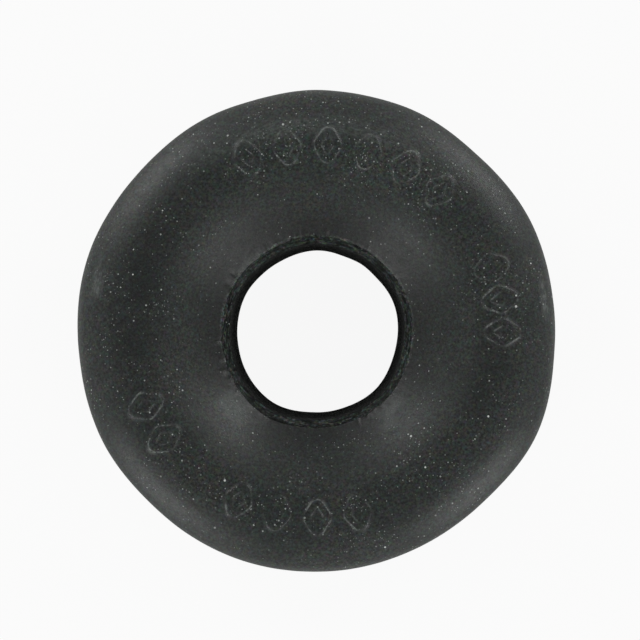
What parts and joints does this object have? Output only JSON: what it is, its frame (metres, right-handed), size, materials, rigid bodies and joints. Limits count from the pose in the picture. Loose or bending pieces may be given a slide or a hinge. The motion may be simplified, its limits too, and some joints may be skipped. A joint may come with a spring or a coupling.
{
  "type": "toilet inlet connector",
  "caption": "Hollow black rubber ring with a funnel-shaped face and an inner sleeve; it joins a flush pipe to a toilet bowl's inlet spigot.",
  "frame": {"origin": "on the bore's axis, in the plane of the rear rim that the ring lies on", "axes": "+Z along the bore, from the rear rim to the face that the flush pipe enters; +Y is up in the picture, +X to its right"},
  "size_m": [0.0805, 0.0812, 0.0374],
  "materials": {
    "black_rubber": "matte moulded black rubber with a faint grey bloom"
  },
  "bodies": {
    "root": {"rubber_connector": "black_rubber"}
  },
  "joints": []
}
